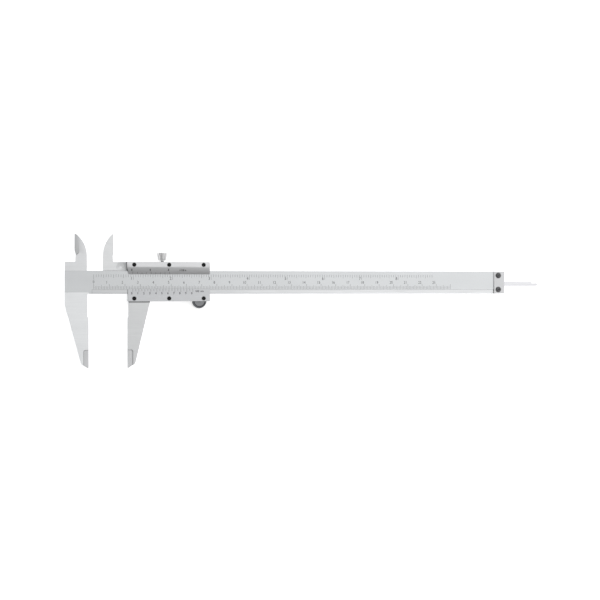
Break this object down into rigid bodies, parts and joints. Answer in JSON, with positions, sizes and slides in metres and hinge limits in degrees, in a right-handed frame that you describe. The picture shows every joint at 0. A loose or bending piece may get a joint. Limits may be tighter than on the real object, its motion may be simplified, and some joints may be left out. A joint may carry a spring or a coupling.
{
  "type": "vernier caliper",
  "caption": "Vernier caliper with outer and inner jaws, inch and metric verniers, lock screw, thumb roller and a depth rod that follows the slider.",
  "frame": {"origin": "centre of the fixed outer jaw's measuring face, half way through the jaw's thickness", "axes": "+X along the beam from the fixed jaw to the far end, square to the measuring faces; +Y from the outer jaws to the inner jaws; +Z out of the graduated face"},
  "size_m": [0.3217, 0.0872, 0.0072],
  "materials": {
    "satin_steel": "satin chrome on stainless steel, fine matt graduated face",
    "ground_steel": "surface-ground stainless steel",
    "plate_steel": "satin chrome plate",
    "black_oxide": "black oxide on steel",
    "bronze": "rolled phosphor bronze",
    "bright_nickel": "nickel plated, knurled",
    "blued_steel": "dark steel, knurled rim",
    "spring_steel": "rolled spring steel"
  },
  "bodies": {
    "beam": {"main_beam": "satin_steel", "end_stop_plate": "plate_steel", "rod_keeper_plate": "plate_steel", "end_stop_screws": "black_oxide"},
    "slider": {"slider_frame": "ground_steel", "inch_vernier_plate": "plate_steel", "metric_vernier_plate": "plate_steel", "vernier_plate_screws": "black_oxide", "gib_strip": "bronze", "gib_set_screws": "black_oxide", "roller_pin": "spring_steel", "roller_bracket": "spring_steel", "roller_bracket_screw": "black_oxide", "depth_rod": "ground_steel", "depth_rod_rivets": "ground_steel"},
    "lock_screw": {"lock_screw": "bright_nickel"},
    "thumb_roller": {"thumb_roller": "blued_steel"}
  },
  "joints": [
    {"name": "slider_slide", "type": "slide", "parent": "beam", "child": "slider", "axis": [1, 0, 0], "range_m": [-0.025, 0.1957]},
    {"name": "lock_screw_turn", "type": "hinge", "parent": "slider", "child": "lock_screw", "pos_m": [0.0475, 0.052, 0], "axis": [0, 1, 0], "range_deg": [-180, 360]},
    {"name": "thumb_roller_spin", "type": "hinge", "parent": "slider", "child": "thumb_roller", "pos_m": [0.0718, 0.02735, -0.001], "axis": [0, 0, 1], "range_deg": [-310, 2370]}
  ],
  "couplings": [
    {"joint": "thumb_roller_spin", "follows": "slider_slide", "rad_per_m": 210.53}
  ]
}
